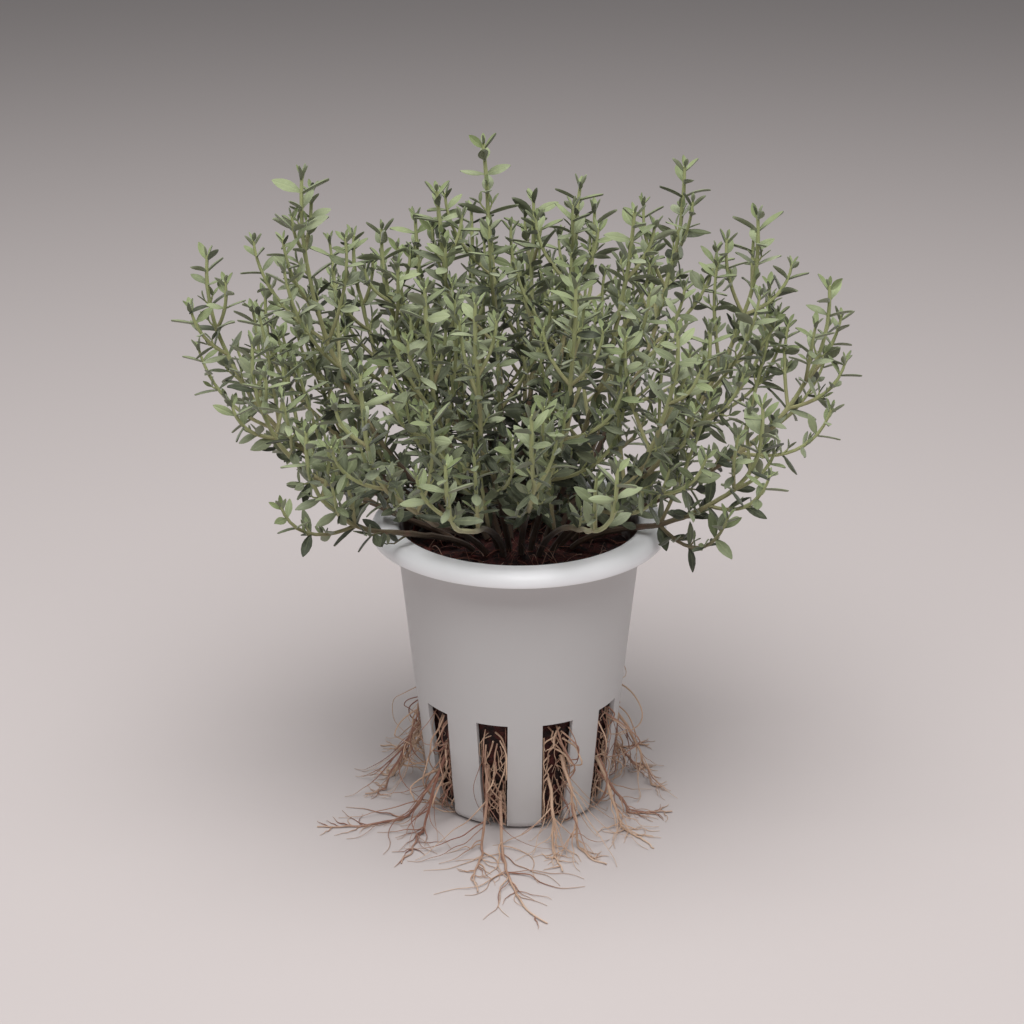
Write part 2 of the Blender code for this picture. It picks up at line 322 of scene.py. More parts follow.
@dataclass(frozen=True)
class CoirFibre:
    """Damp, nearly black red-brown coconut fibre."""

    dark: tuple[float, float, float] = (0.013, 0.003, 0.003)
    mid: tuple[float, float, float] = (0.078, 0.013, 0.011)
    strand: tuple[float, float, float] = (0.120, 0.028, 0.019)

    def material(self) -> bpy.types.Material:
        """Paint the coir."""
        paint = Paint("coir fibre")
        where = paint.place()
        lumps = paint.cloud(where, 420.0, 4.0, 0.65)
        body = paint.blend(lumps.ramp(0.40, 0.66), self.dark, self.mid)
        twist = paint.cloud(where, 160.0, 2.0)
        bent = paint.node(
            "ShaderNodeVectorMath", {"operation": "ADD"},
            {0: paint.place((900.0, 260.0, 900.0)), 1: paint.node("ShaderNodeCombineXYZ", None, {0: twist * 5, 1: twist * 4})},
        )
        strands = paint.node("ShaderNodeTexVoronoi", {"feature": "DISTANCE_TO_EDGE"}, {"Vector": bent, "Scale": 1.0})
        thread = 1 - strands.ramp(0.02, 0.10)
        body = paint.blend(thread * lumps.ramp(0.45, 0.62) * 0.8, body, self.strand)
        relief = lumps * 0.6 + thread * 0.4
        paint.bump(relief, 0.9, 0.6 * MM)
        return paint.coat(Base_Color=body, Roughness=0.70 + lumps * 0.25)


@dataclass(frozen=True)
class HuskChip:
    """Red-brown coconut husk with a fibrous grain."""

    bark: tuple[float, float, float] = (0.165, 0.028, 0.019)
    pale: tuple[float, float, float] = (0.290, 0.085, 0.055)
    dark: tuple[float, float, float] = (0.045, 0.009, 0.007)

    def material(self) -> bpy.types.Material:
        """Paint the husk."""
        paint = Paint("husk chip")
        grain = paint.cloud(paint.place((240.0, 1500.0, 900.0)), 1.0, 4.0, 0.6)
        patch = paint.cloud(paint.place(), 330.0, 2.0)
        body = paint.blend(grain.ramp(0.36, 0.70), self.dark, self.bark)
        body = paint.blend(patch.ramp(0.52, 0.74) * 0.7, body, self.pale)
        paint.bump(grain, 0.8, 0.3 * MM)
        return paint.coat(Base_Color=body, Roughness=0.55 + grain * 0.3)


@dataclass(frozen=True)
class ThymeLeaf:
    """Grey-green leaf, bright when young and pale beneath, with a fine down, and painted shade on leaves near the
    crown.
    """

    # Nearly black leaf colour: painted shade for leaves inside the bush.
    painted_shade: tuple[float, float, float] = (0.026, 0.034, 0.013)
    grey: tuple[float, float, float] = (0.300, 0.335, 0.198)
    young: tuple[float, float, float] = (0.205, 0.252, 0.095)
    under: tuple[float, float, float] = (0.225, 0.250, 0.150)
    rib: tuple[float, float, float] = (0.290, 0.325, 0.160)

    def material(self) -> bpy.types.Material:
        """Paint the leaf."""
        paint = Paint("thyme leaf")
        spot = paint.node("ShaderNodeUVMap", {"uv_map": LEAF_UV})
        across = paint.part(spot, "X")
        along = paint.part(spot, "Y")
        tone = paint.attribute("tone")
        age = paint.attribute("age")
        where = paint.place()
        mottle = paint.cloud(where, 900.0, 3.0)
        beneath = across > 1.0
        off_rib = abs(across - beneath - 0.5) * 2
        # A low tone, given to leaves near the crown, picks the painted shade colour.
        top = paint.blend(tone.ramp(0.1, 0.95), self.painted_shade, self.grey)
        top = paint.blend((1 - age).ramp(0.60, 1.0) * 0.8, top, self.young)
        top = paint.blend(mottle.ramp(0.40, 0.72) * (tone * 0.4 + 0.06), top, self.grey)
        groove = 1 - off_rib.ramp(0.03, 0.20)
        top = paint.blend(groove * (1 - along) * (tone * 0.5 + 0.2), top, self.rib)
        top = paint.blend(off_rib.ramp(0.86, 1.0) * (tone * 0.4 + 0.06), top, self.rib)
        # Undersides near the crown also take the painted shade colour.
        low = paint.blend(tone.ramp(0.0, 0.7), self.painted_shade, self.under)
        body = paint.blend(beneath, top, low)
        down = paint.cloud(where, 5200.0, 2.0)
        relief = off_rib.ramp(0.0, 0.3) * 0.5 + down * 0.35 + mottle * 0.15
        paint.bump(relief, 0.45, 0.18 * MM)
        return paint.coat(
            Base_Color=body,
            Roughness=0.50 + down * 0.2,
            Sheen_Weight=0.35,
            Sheen_Roughness=0.45,
        )


@dataclass(frozen=True)
class StemBark:
    """Stem skin: green and downy at the tip, olive lower down, brown and woody at the crown."""

    green: tuple[float, float, float] = (0.345, 0.372, 0.165)
    olive: tuple[float, float, float] = (0.352, 0.320, 0.160)
    wood: tuple[float, float, float] = (0.058, 0.031, 0.020)
    flush: tuple[float, float, float] = (0.210, 0.100, 0.065)
    brown: tuple[float, float, float] = (0.105, 0.066, 0.040)
    woody_below: float = 62.0 * MM
    green_above: float = 78.0 * MM

    def material(self) -> bpy.types.Material:
        """Paint the stem."""
        paint = Paint("stem bark")
        age = paint.attribute("age")
        where = paint.place()
        patch = paint.cloud(where, 240.0, 3.0)
        fibre = paint.cloud(paint.place((2400.0, 2400.0, 500.0)), 1.0, 3.0)
        body = paint.blend((age + patch * 0.3 - 0.15).ramp(0.15, 0.55), self.green, self.olive)
        body = paint.blend((age + patch * 0.3 - 0.15).ramp(0.42, 0.80), body, self.wood)
        low = 1 - paint.part(where, "Z").ramp(self.woody_below, self.green_above)
        body = paint.blend(low * 0.8, body, self.brown)
        body = paint.blend(patch.ramp(0.55, 0.72) * age.ramp(0.2, 0.5) * 0.5, body, self.flush)
        paint.bump(fibre, 0.6, 0.15 * MM)
        return paint.coat(Base_Color=body, Roughness=0.60 + fibre * 0.2, Sheen_Weight=0.2)


@dataclass(frozen=True)
class RootSkin:
    """Tan root skin, browner where it is old and nearly cream at the fresh ends."""

    tan: tuple[float, float, float] = (0.540, 0.365, 0.255)
    brown: tuple[float, float, float] = (0.250, 0.115, 0.080)
    cream: tuple[float, float, float] = (0.680, 0.530, 0.420)

    def material(self) -> bpy.types.Material:
        """Paint the roots."""
        paint = Paint("root skin")
        age = paint.attribute("age")
        tone = paint.attribute("tone")
        where = paint.place()
        patch = paint.cloud(where, 190.0, 4.0, 0.6)
        fine = paint.cloud(where, 1900.0, 2.0)
        body = paint.blend((tone * 0.6 + patch * 0.5).ramp(0.38, 0.82), self.tan, self.brown)
        body = paint.blend((1 - age).ramp(0.55, 1.0) * 0.5, body, self.cream)
        paint.bump(fine, 0.7, 0.15 * MM)
        return paint.coat(Base_Color=body, Roughness=0.62 + fine * 0.2)


@dataclass(frozen=True)
class FloorPaint:
    """Plain pale studio floor."""

    pale: tuple[float, float, float] = (0.500, 0.451, 0.442)

    def material(self) -> bpy.types.Material:
        """Paint the floor."""
        paint = Paint("pale floor")
        soft = paint.cloud(paint.place(), 6.0)
        body = paint.blend(soft * 0.08, self.pale, (0.472, 0.431, 0.425))
        return paint.coat(Base_Color=body, Roughness=0.75)


# ---------------------------------------------------------------- mesh tools

LEAF_UV = "LeafUV"


def toward(angle: float) -> Vector:
    """Unit vector in plan at an angle from the front, positive towards +X."""
    return Vector((math.sin(angle), -math.cos(angle), 0.0))


def add_piece(
    name: str,
    bm: bmesh.types.BMesh,
    finish: bpy.types.Material,
    replaces: Sequence[str] = (),
    sharp: float = 50.0,
) -> bpy.types.Object:
    """Turn a bmesh into a finished piece that rides on the object's one body.

    Args:
        name: The piece's name.
        bm: Its shape, freed here.
        finish: Its material.
        replaces: CAD nodes that it stands for.
        sharp: Edges bent by more degrees than this stay sharp.

    Returns:
        The new object.
    """
    mesh = bpy.data.meshes.new(name)
    bm.to_mesh(mesh)
    bm.free()
    mesh.materials.append(finish)
    mesh.shade_smooth()
    mesh.set_sharp_from_angle(angle=math.radians(sharp))
    piece = bpy.data.objects.new(name, mesh)
    bpy.context.scene.collection.objects.link(piece)
    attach(piece, BODY)
    if replaces:
        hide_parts(*replaces)
    log.info("piece %s: %d faces", name, len(mesh.polygons))
    return piece


def next_ring(bm: bmesh.types.BMesh, ring: list[bmesh.types.BMVert]) -> list[bmesh.types.BMVert]:
    """Extrude a closed ring of vertices.

    Args:
        bm: The shape being made.
        ring: The ring's vertices in order.

    Returns:
        The new ring in the same order, still in the old ring's place.
    """
    edges = [bm.edges.get(pair) for pair in zip(ring, ring[1:] + ring[:1])]
    made = bmesh.ops.extrude_edge_only(bm, edges=edges)["geom"]
    fresh = {item for item in made if isinstance(item, bmesh.types.BMVert)}
    return [next(e.other_vert(v) for e in v.link_edges if e.other_vert(v) in fresh) for v in ring]


@dataclass
class Path3:
    """An evenly sampled centre line."""

    points: np.ndarray
    length: float

    @classmethod
    def through(cls, curve: np.ndarray, samples: int) -> "Path3":
        """Space a curve's points evenly.

        Args:
            curve: Points along the curve.
            samples: How many points to keep.

        Returns:
            The path.
        """
        steps = np.linalg.norm(np.diff(curve, axis=0), axis=1)
        run = np.concatenate(([0.0], np.cumsum(steps)))
        even = np.linspace(0.0, run[-1], samples)
        points = np.stack([np.interp(even, run, curve[:, axis]) for axis in range(3)], axis=1)
        return cls(points, float(run[-1]))

    @classmethod
    def bezier(cls, guides: Sequence[Sequence[float]], samples: int = 60) -> "Path3":
        """Sample a cubic curve.

        Args:
            guides: Its four control points.
            samples: How many points to keep.

        Returns:
            The path.
        """
        t = np.linspace(0.0, 1.0, samples * 2)[:, None]
        a, b, c, d = (np.array(guide, float) for guide in guides)
        curve = (1 - t) ** 3 * a + 3 * (1 - t) ** 2 * t * b + 3 * (1 - t) * t ** 2 * c + t ** 3 * d
        return cls.through(curve, samples)

    @classmethod
    def spline(cls, guides: Sequence[Sequence[float]], samples: int = 40) -> "Path3":
        """Sample a smooth curve that passes through every guide point.

        Args:
            guides: Its points.
            samples: How many points to keep.

        Returns:
            The path.
        """
        knots = np.array([tuple(guide) for guide in guides], float)
        knots = np.vstack((2 * knots[0] - knots[1], knots, 2 * knots[-1] - knots[-2]))
        t = np.linspace(0.0, 1.0, 12)[:, None]
        runs = []
        for a, b, c, d in zip(knots, knots[1:], knots[2:], knots[3:]):
            bend = (2 * a - 5 * b + 4 * c - d) * t ** 2 + (3 * b - a - 3 * c + d) * t ** 3
            runs.append(b + ((c - a) * t + bend) / 2)
        return cls.through(np.vstack(runs), samples)

    def at(self, distance: float) -> tuple[Vector, Vector]:
        """Place and direction at a distance along the path."""
        last = len(self.points) - 1
        place = min(max(distance / self.length * last, 0.0), last - 0.001)
        index = int(place)
        spot = self.points[index] + (self.points[index + 1] - self.points[index]) * (place - index)
        ahead = self.points[min(index + 2, last)] - self.points[max(index - 1, 0)]
        return Vector(spot), Vector(ahead).normalized()


@dataclass
class Tube:
    """A round strand drawn along a path."""

    path: Path3
    start: float
    end: float
    sides: int = 6
    rings: int = 12
    age: tuple[float, float] = (1.0, 0.0)
    tone: float = 0.5
    knots: tuple[float, ...] = ()
    knot_swell: float = 0.22
    knot_reach: float = 0.9 * MM

    def radius(self, distance: float) -> float:
        """Radius at a distance, swollen at the knots."""
        share = distance / self.path.length
        plain = self.start + (self.end - self.start) * share
        near = max((1 - abs(distance - knot) / self.knot_reach for knot in self.knots), default=0.0)
        return plain * (1 + self.knot_swell * max(near, 0.0))

    def draw(self, bm: bmesh.types.BMesh) -> None:
        """Add the strand to a shape as one closed skin.

        Args:
            bm: The shape to add to, with float layers named age and tone on its vertices.
        """
        age_layer = bm.verts.layers.float["age"]
        tone_layer = bm.verts.layers.float["tone"]
        ring = bmesh.ops.create_circle(bm, cap_ends=True, segments=self.sides, radius=MM)["verts"]
        side = self.path.at(0.0)[1].orthogonal().normalized()
        for step in range(self.rings + 1):
            distance = self.path.length * step / self.rings
            spot, ahead = self.path.at(distance)
            side = (side - ahead * side.dot(ahead)).normalized()
            other = ahead.cross(side)
            if step:
                ring = next_ring(bm, ring)
            share = step / self.rings
            radius = self.radius(distance)
            for number, vert in enumerate(ring):
                angle = math.tau * number / self.sides
                vert.co = spot + (side * math.cos(angle) + other * math.sin(angle)) * radius
                vert[age_layer] = self.age[0] + (self.age[1] - self.age[0]) * share
                vert[tone_layer] = self.tone
        bmesh.ops.contextual_create(bm, geom=ring)


def strand_mesh() -> bmesh.types.BMesh:
    """Start an empty shape with the layers that strands and leaves write."""
    bm = bmesh.new()
    bm.verts.layers.float.new("age")
    bm.verts.layers.float.new("tone")
    return bm


def close_up(bm: bmesh.types.BMesh) -> bmesh.types.BMesh:
    """Point every face outwards."""
    bmesh.ops.recalc_face_normals(bm, faces=bm.faces)
    return bm


# ---------------------------------------------------------------- pot


@dataclass
class NetPot:
    """The slotted cup with its wide rolled rim."""

    height: float = 61.9 * MM
    rim_radius: float = 30.0 * MM
    rim_depth: float = 2.8 * MM
    rim_round: float = 2.4 * MM
    mouth_radius: float = 24.3 * MM
    lip_round: float = 1.2 * MM
    shoulder: float = 24.9 * MM
    foot: float = 19.2 * MM
    foot_round: float = 2.4 * MM
    wall: float = 1.0 * MM
    slots: int = 10
    slot_top: float = 25.4 * MM
    slot_inner: float = 13.5 * MM
    bar_width: float = 6.7 * MM
    bar_angle: float = math.radians(3.3)
    segments: int = 160
    edge_round: float = 0.18 * MM
    arc_steps: int = 6

    def outer(self, height: float) -> float:
        """Outer wall radius at a height."""
        return self.foot + (self.shoulder - self.foot) * height / (self.height - self.rim_depth)

    def inner(self, height: float) -> float:
        """Inner wall radius at a height."""
        return self.outer(height) - self.wall

    def slot_angle(self, number: int) -> float:
        """Angle from the front of a slot's middle."""
        return self.bar_angle + math.tau / self.slots * (number - 0.5)

    def slot_half(self, reach: float) -> float:
        """Half the slot's width at a distance from the axis."""
        half_pitch = math.pi / self.slots
        return (reach * math.sin(half_pitch) - self.bar_width / 2) / math.cos(half_pitch)

    def arc(self, centre: tuple[float, float], radius: float, start: float, end: float) -> list[tuple[float, float]]:
        """Points of an arc in the radius-height plane, angles in degrees."""
        angles = (math.radians(start + (end - start) * k / self.arc_steps) for k in range(self.arc_steps + 1))
        return [(centre[0] + radius * math.cos(a), centre[1] + radius * math.sin(a)) for a in angles]

    def skin_profile(self) -> list[tuple[float, float]]:
        """Inner skin from the middle of the floor, up the wall, over the lip and down the rim's skirt."""
        round_in = self.foot_round - self.wall
        points = [(0.0, self.wall)]
        points += self.arc((self.foot - self.foot_round, self.foot_round), round_in, -90, 0)
        points += [(self.inner(h * MM), h * MM) for h in (10, 18, self.slot_top / MM, 34, 44, 52)]
        points.append((self.inner(57 * MM), 57 * MM))
        lip = (self.mouth_radius + self.lip_round, self.height - self.lip_round)
        points += self.arc(lip, self.lip_round, 180, 90)
        points.append(((self.mouth_radius + self.rim_radius) / 2, self.height))
        edge = (self.rim_radius - self.rim_round, self.height - self.rim_round)
        points += self.arc(edge, self.rim_round, 90, 0)
        points.append((self.rim_radius - 0.1 * MM, self.height - self.rim_depth))
        return points

    def cut_slots(self, bm: bmesh.types.BMesh) -> None:
        """Cut the slots out of the single skin with planes."""
        for number in range(self.slots):
            out = toward(self.slot_angle(number))
            across = Vector((-out.y, out.x, 0.0))
            lean = math.pi / self.slots
            edges = []
            for sign in (-1, 1):
                bar = out * math.cos(lean) + across * sign * math.sin(lean)
                flat = across * math.cos(lean) - out * sign * math.sin(lean)
                edges.append((flat * sign, bar, flat * -sign * self.bar_width / 2))
            planes = [(start, normal) for normal, _, start in edges]
            planes.append((Vector((0, 0, self.slot_top)), Vector((0, 0, 1))))
            planes.append((out * self.slot_inner, -out))

            def near(centre: Vector, out: Vector = out, across: Vector = across) -> bool:
                """Tell whether a face lies round this slot."""
                reach = centre.dot(out)
                wide = abs(centre.dot(across)) < reach * math.tan(lean)
                return reach > self.slot_inner * 0.6 and wide and centre.z < self.slot_top + 9 * MM

            for start, normal in planes:
                faces = [f for f in bm.faces if near(f.calc_center_median())]
                geom = list({*faces, *(e for f in faces for e in f.edges), *(v for f in faces for v in f.verts)})
                bmesh.ops.bisect_plane(bm, geom=geom, dist=1e-7, plane_co=start, plane_no=normal)
            gone = []
            for face in bm.faces:
                centre = face.calc_center_median()
                if near(centre) and all((centre - start).dot(normal) < 0 for start, normal in planes):
                    gone.append(face)
            bmesh.ops.delete(bm, geom=gone, context="FACES")

    def build(self, finish: bpy.types.Material) -> bpy.types.Object:
        """Make the pot.

        Args:
            finish: The plastic.

        Returns:
            The pot.
        """
        bm = bmesh.new()
        verts = [bm.verts.new((r, 0.0, z)) for r, z in self.skin_profile()]
        chain = [bm.edges.new(pair) for pair in zip(verts, verts[1:])]
        bmesh.ops.spin(
            bm, geom=verts + chain, cent=(0, 0, 0), axis=(0, 0, 1),
            angle=math.tau, steps=self.segments, use_merge=True,
        )
        bmesh.ops.remove_doubles(bm, verts=bm.verts, dist=1e-6)
        self.cut_slots(bm)
        bmesh.ops.recalc_face_normals(bm, faces=bm.faces)
        floor_face = min(bm.faces, key=lambda f: f.calc_center_median().length)
        if floor_face.normal.z < 0:
            bmesh.ops.reverse_faces(bm, faces=bm.faces)
        pot = add_piece("net_pot_shell", bm, finish, ["net_pot"], sharp=40.0)
        walls = pot.modifiers.new("wall", "SOLIDIFY")
        walls.thickness = self.wall
        walls.offset = -1.0
        walls.use_even_offset = True
        rounding = pot.modifiers.new("edges", "BEVEL")
        rounding.width = self.edge_round
        rounding.segments = 2
        rounding.limit_method = "ANGLE"
        rounding.angle_limit = math.radians(50.0)
        rounding.harden_normals = True
        return pot


# ---------------------------------------------------------------- growing medium


@dataclass
class GrowingMedium:
    """The coir plug with loose husk chips, crumbs and fibres on it."""

    pot: NetPot
    top: float = 55.0 * MM
    gap: float = 0.3 * MM
    segments: int = 120
    side_rings: int = 44
    top_rings: int = 22
    crumbs: int = 90
    fibres: int = 110
    upright_fibres: int = 45
    flakes: int = 42
    leaning: tuple[float, ...] = (1.75, 1.35, -1.5, 2.6, -2.3, -1.9)
    chips: tuple[tuple[float, float, float, float, float], ...] = (
        (2.0, -17.0, 7.5, 4.0, 12.0),
        (-10.5, -14.5, 6.0, 3.4, -35.0),
        (13.0, -13.5, 6.5, 3.6, 40.0),
        (-19.0, -6.0, 5.0, 3.0, 75.0),
    )
    chip_thickness: float = 1.4 * MM

    def plug_profile(self) -> list[tuple[float, float]]:
        """Radius and height from the middle of the underside to the middle of the top."""
        bottom = self.pot.wall + self.gap
        low_radius = self.pot.inner(bottom) - self.gap - self.pot.foot_round / 2
        points = [(low_radius * k / 6, bottom) for k in range(7)]
        rise = self.top - 0.8 * MM - self.pot.foot_round
        for k in range(self.side_rings + 1):
            height = self.pot.foot_round + rise * k / self.side_rings
            points.append((self.pot.inner(height) - self.gap, height))
        edge = self.pot.inner(self.top) - self.gap - 0.8 * MM
        points += [(edge * (1 - k / self.top_rings), self.top) for k in range(self.top_rings)]
        points.append((0.0, self.top))
        return points

    def roughen(self, vert: bmesh.types.BMVert) -> None:
        """Push one vertex of the plug about, never out through the pot's wall."""
        spot = vert.co
        wide = noise.fractal(spot * 180.0, 0.8, 2.2, 4)
        fine = noise.fractal(spot * 700.0, 0.8, 2.2, 3)
        if spot.z > self.top - 1.5 * MM:
            reach = math.hypot(spot.x, spot.y)
            edge = 1 - min(reach / self.pot.inner(self.top), 1.0) ** 6
            vert.co.z += (wide * 0.8 + fine * 0.5) * MM * (0.35 + 0.65 * edge) - 0.3 * MM
        elif spot.z > 2.0 * MM:
            depth = (0.35 + 0.5 * wide + 0.35 * fine) * 1.3 * MM
            out = Vector((spot.x, spot.y, 0.0)).normalized()
            vert.co -= out * max(depth, 0.0)

    def build_plug(self, finish: bpy.types.Material) -> bpy.types.Object:
        """Make the coir plug.

        Args:
            finish: The coir.

        Returns:
            The plug.
        """
        bm = bmesh.new()
        verts = [bm.verts.new((r, 0.0, z)) for r, z in self.plug_profile()]
        chain = [bm.edges.new(pair) for pair in zip(verts, verts[1:])]
        bmesh.ops.spin(
            bm, geom=verts + chain, cent=(0, 0, 0), axis=(0, 0, 1),
            angle=math.tau, steps=self.segments, use_merge=True,
        )
        bmesh.ops.remove_doubles(bm, verts=bm.verts, dist=1e-6)
        for vert in bm.verts:
            self.roughen(vert)
        return add_piece("coir_medium", close_up(bm), finish, ["coir_plug"], sharp=80.0)

    def flake(
        self, bm: bmesh.types.BMesh, size: Vector, spot: Vector, turn: float, cuts: int, tilt: float = 0.0
    ) -> None:
        """Add one rough flake of husk.

        Args:
            bm: The shape to add to.
            size: Length, width and thickness.
            spot: Its middle.
            turn: Turn about Z in radians.
            cuts: How often its edges are divided before it is roughened.
            tilt: How far it leans out of the level, in radians.
        """
        older = set(bm.verts)
        verts = bmesh.ops.create_cube(bm, size=1.0)["verts"]
        edges = list({e for v in verts for e in v.link_edges})
        bmesh.ops.subdivide_edges(bm, edges=edges, cuts=cuts, use_grid_fill=True)
        verts = [v for v in bm.verts if v not in older]
        for vert in verts:
            jitter = noise.noise_vector(vert.co * 2.3 + spot * 900.0) * 0.16
            taper = 1 - 0.45 * (vert.co.x + 0.5)
            vert.co = Vector((vert.co.x, vert.co.y * taper, vert.co.z)) + jitter
        lean = Matrix.Rotation(turn, 4, "Z") @ Matrix.Rotation(tilt, 4, "X")
        place = Matrix.Translation(spot) @ lean @ Matrix.Diagonal((*size, 1.0))
        bmesh.ops.transform(bm, matrix=place, verts=verts)

    def build_chips(self, finish: bpy.types.Material) -> None:
        """Make the four larger husk chips.

        Args:
            finish: The husk.
        """
        for number, (x, y, length, width, turn) in enumerate(self.chips, 1):
            bm = bmesh.new()
            size = Vector((length, width, self.chip_thickness / MM * 0.8)) * MM
            spot = Vector((x * MM, y * MM, self.top + self.gap + self.chip_thickness / 2))
            self.flake(bm, size, spot, math.radians(turn), 4)
            add_piece(f"husk_flake_{number}", close_up(bm), finish, [f"husk_chip_{number}"])

    def scatter(self, draw: random.Random, low: float, high: float) -> Vector:
        """A place on the coir between two distances from the axis."""
        reach = high * math.sqrt(draw.uniform((low / high) ** 2, 1.0))
        spot = toward(draw.uniform(-math.pi, math.pi)) * reach
        return Vector((spot.x, spot.y, self.top))

    def build_crumbs(self, finish: bpy.types.Material) -> None:
        """Strew small crumbs of husk over the coir.

        Args:
            finish: The husk.
        """
        draw = random.Random(11)
        bm = bmesh.new()
        for _ in range(self.crumbs):
            size = Vector((draw.uniform(0.8, 2.6), draw.uniform(0.5, 1.3), draw.uniform(0.3, 0.8))) * MM
            spot = self.scatter(draw, 3 * MM, 22.0 * MM)
            spot.z += draw.uniform(-0.1, 0.5) * MM
            self.flake(bm, size, spot, draw.uniform(0, math.pi), 1)
        add_piece("husk_crumbs", close_up(bm), finish)

    def build_flakes(self, finish: bpy.types.Material) -> None:
        """Lay broad loose flakes between the stems, some leaning on the wall.

        Args:
            finish: The husk.
        """
        draw = random.Random(5)
        bm = bmesh.new()
        for _ in range(self.flakes):
            size = Vector((draw.uniform(3.0, 6.5), draw.uniform(1.8, 3.4), draw.uniform(0.35, 0.7))) * MM
            angle = draw.uniform(-math.pi, math.pi)
            spot = toward(angle) * draw.uniform(5.0, 19.5) * MM
            spot.z = self.top + draw.uniform(0.3, 1.4) * MM
            self.flake(bm, size, spot, draw.uniform(0, math.pi), 3, draw.uniform(-0.6, 0.6))
        for angle in self.leaning:
            out = toward(angle)
            spot = out * (self.pot.inner(self.top) - 1.6 * MM)
            spot.z = self.top + 2.2 * MM
            size = Vector((draw.uniform(4.0, 5.5), 4.2, 0.5)) * MM
            self.flake(bm, size, spot, angle, 3, 1.25)
        add_piece("husk_flakes_loose", close_up(bm), finish)

    def build_fibres(self, finish: bpy.types.Material) -> None:
        """Lay loose coconut fibres over the coir.

        Args:
            finish: The fibre skin.
        """
        draw = random.Random(23)
        bm = strand_mesh()
        for _ in range(self.fibres):
            start = self.scatter(draw, 2 * MM, 21.5 * MM)
            heading = draw.uniform(0, math.tau)
            length = draw.uniform(3.0, 9.0) * MM
            guides = []
            for step in range(4):
                bend = heading + draw.uniform(-0.7, 0.7)
                spot = start + Vector((math.cos(bend), math.sin(bend), 0)) * length * step / 3
                reach = math.hypot(spot.x, spot.y)
                limit = 22.6 * MM
                if reach > limit:
                    spot = Vector((spot.x * limit / reach, spot.y * limit / reach, spot.z))
                spot.z = self.top + draw.uniform(0.0, 1.5 if step in (1, 2) else 0.5) * MM
                guides.append(spot)
            thin = draw.uniform(0.05, 0.11) * MM
            Tube(Path3.bezier(guides, 24), thin, thin * 0.6, 5, 8, (0.9, 0.3), draw.random()).draw(bm)
        for _ in range(self.upright_fibres):
            start = self.scatter(draw, 4 * MM, 21.0 * MM)
            heading = Vector((draw.uniform(-1, 1), draw.uniform(-1, 1), 0.0))
            middle = start + heading * 2.5 * MM + Vector((0, 0, draw.uniform(2.0, 4.5) * MM))
            end = middle + heading * draw.uniform(0.5, 2.0) * MM + Vector((0, 0, draw.uniform(-1.5, 1.5) * MM))
            thin = draw.uniform(0.05, 0.09) * MM
            path = Path3.bezier((start, start.lerp(middle, 0.6), middle, end), 24)
            Tube(path, thin, thin * 0.6, 5, 8, (0.3, 0.0), 0.0).draw(bm)
        add_piece("coir_fibres", close_up(bm), finish)

    def build(self) -> None:
        """Make the plug and all that lies on it."""
        self.build_plug(CoirFibre().material())
        husk = HuskChip().material()
        self.build_chips(husk)
        self.build_crumbs(husk)
        self.build_flakes(husk)
        self.build_fibres(RootSkin(tan=(0.30, 0.12, 0.08), brown=(0.10, 0.03, 0.02)).material())


# ---------------------------------------------------------------- leaves


@dataclass(frozen=True)
class LeafShape:
    """One leaf form, drawn at unit length along +Y with its upper face towards +Z."""

    width: float = 0.40
    widest: float = 0.5
    thickness: float = 0.075
    fold: float = 0.20
    roll: float = 0.30
    droop: float = 0.10
    stations: tuple[float, ...] = (0.0, 0.10, 0.27, 0.48, 0.70, 0.88, 0.97)
    petiole: float = 0.12

    def half(self, along: float) -> float:
        """Half width at a share of the length."""
        power = math.log(0.5) / math.log(self.widest)
        swell = math.sin(math.pi * min(along ** power, 1.0) ** 1.0)
        plain = self.width / 2 * max(swell, 0.0) ** 0.75
        return max(plain * min(1.0, along / self.petiole + 0.15), 0.045 * (1 - along))

    def section(self, along: float) -> list[tuple[float, float, float]]:
        """Across, along and up of the eight points round the blade at a share of the length."""
        half = self.half(along)
        sag = -self.droop * along ** 2 + self.droop * 0.15 * along
        points = []
        for number in range(8):
            angle = math.tau * number / 8
            across = math.cos(angle)
            top = self.fold * half * abs(across) - self.roll * half * across ** 4
            below = self.thickness * 0.5 * min(1.0, half / 0.05) if number > 4 else 0.0
            keel = 0.5 * self.thickness if number == 6 else 0.0
            points.append((across * half, along, top + sag - below - keel))
        return points

    def mesh(self, name: str) -> bpy.types.Mesh:
        """Draw the leaf as a closed blade with a UV map that tells its two faces apart.

        Args:
            name: The mesh's name.

        Returns:
            The mesh.
        """
        bm = strand_mesh()
        uv_layer = bm.loops.layers.uv.new(LEAF_UV)
        ring = bmesh.ops.create_circle(bm, cap_ends=True, segments=8, radius=0.1)["verts"]
        columns: dict[bmesh.types.BMVert, tuple[int, float]] = {}
        for number, along in enumerate(self.stations):
            if number:
                ring = next_ring(bm, ring)
            for column, (vert, spot) in enumerate(zip(ring, self.section(along))):
                vert.co = spot
                columns[vert] = (column, along)
        ring = next_ring(bm, ring)
        tip = Vector((0.0, 1.0, -self.droop * 0.85))
        for column, vert in enumerate(ring):
            vert.co = tip
            columns[vert] = (column, 1.0)
        for face in bm.faces:
            middles = [columns[v][0] for v in face.verts]
            upper = max(middles) <= 4
            for loop in face.loops:
                column, along = columns[loop.vert]
                share = 0.5 + 0.5 * math.cos(math.tau * column / 8) * 0.96
                loop[uv_layer].uv = (share + (0.0 if upper else 1.0), along)
        bmesh.ops.remove_doubles(bm, verts=bm.verts, dist=1e-5)
        close_up(bm)
        mesh = bpy.data.meshes.new(name)
        bm.to_mesh(mesh)
        bm.free()
        return mesh


